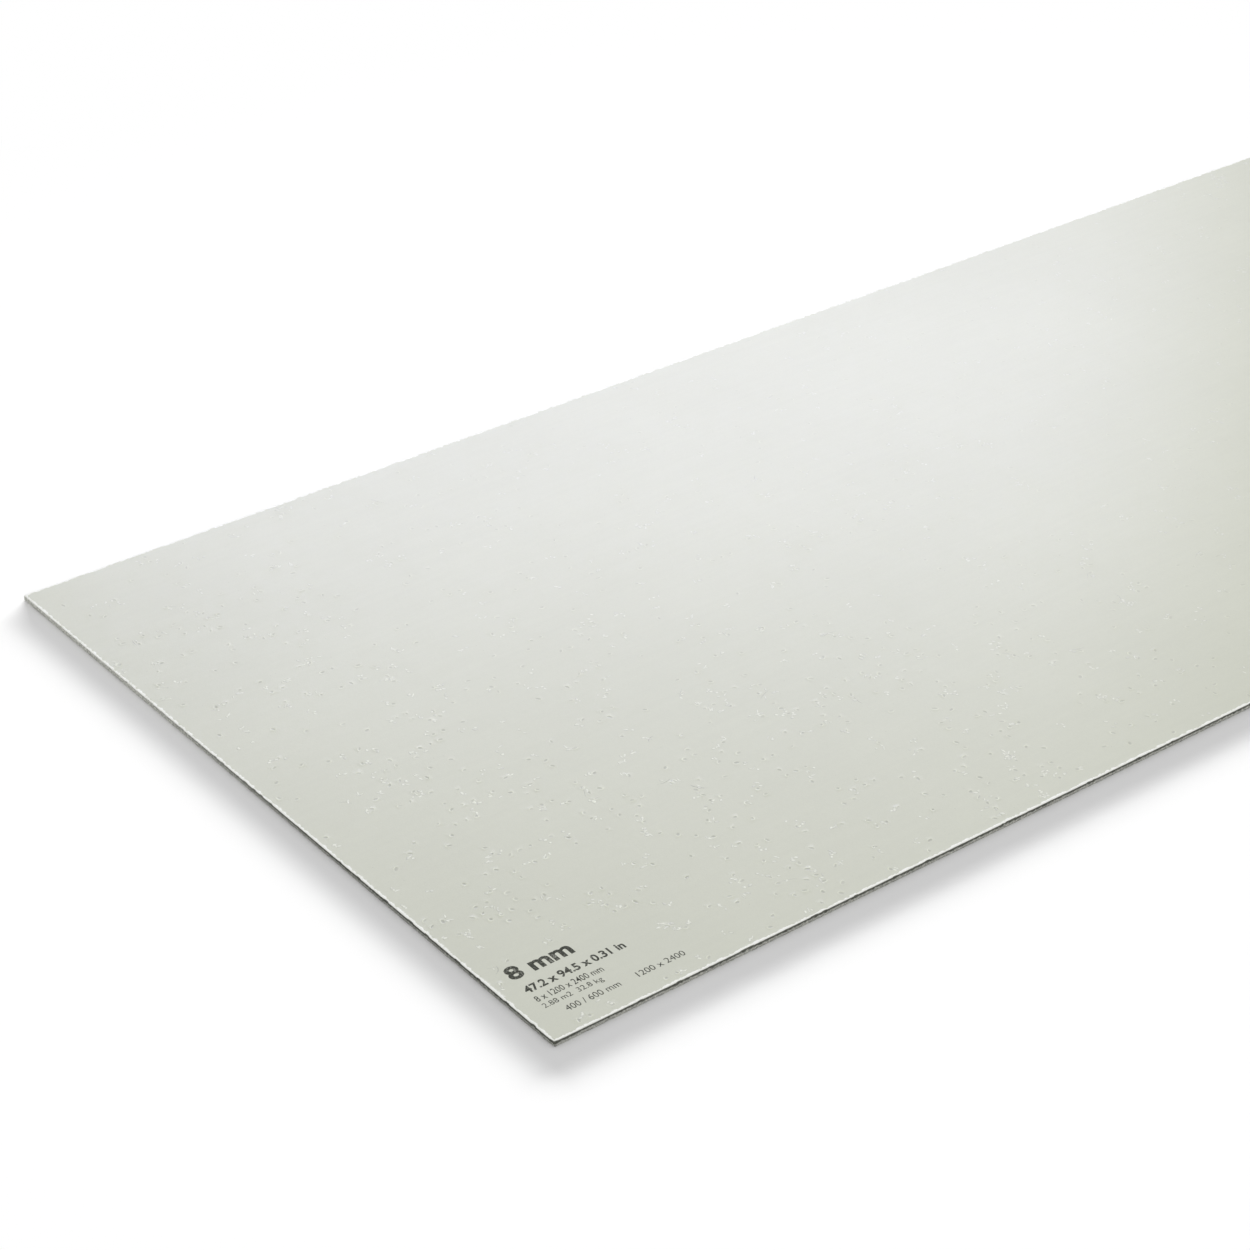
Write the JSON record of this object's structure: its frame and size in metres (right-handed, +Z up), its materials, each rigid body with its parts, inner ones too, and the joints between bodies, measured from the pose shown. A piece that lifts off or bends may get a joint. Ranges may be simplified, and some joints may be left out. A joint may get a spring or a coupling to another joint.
{
  "type": "fibre cement board",
  "caption": "Flat rectangular fibre cement sheet with square trimmed edges and a smooth pale face, for lining walls, ceilings and floors.",
  "frame": {"origin": "centre of the board's underside, on the surface that it lies on", "axes": "+X along the board's length, +Y across its width, +Z up through its thickness, out of the smooth face"},
  "size_m": [2.4, 1.2, 0.008],
  "materials": {
    "board": "matte"
  },
  "bodies": {
    "root": {"board": "board"}
  },
  "joints": []
}
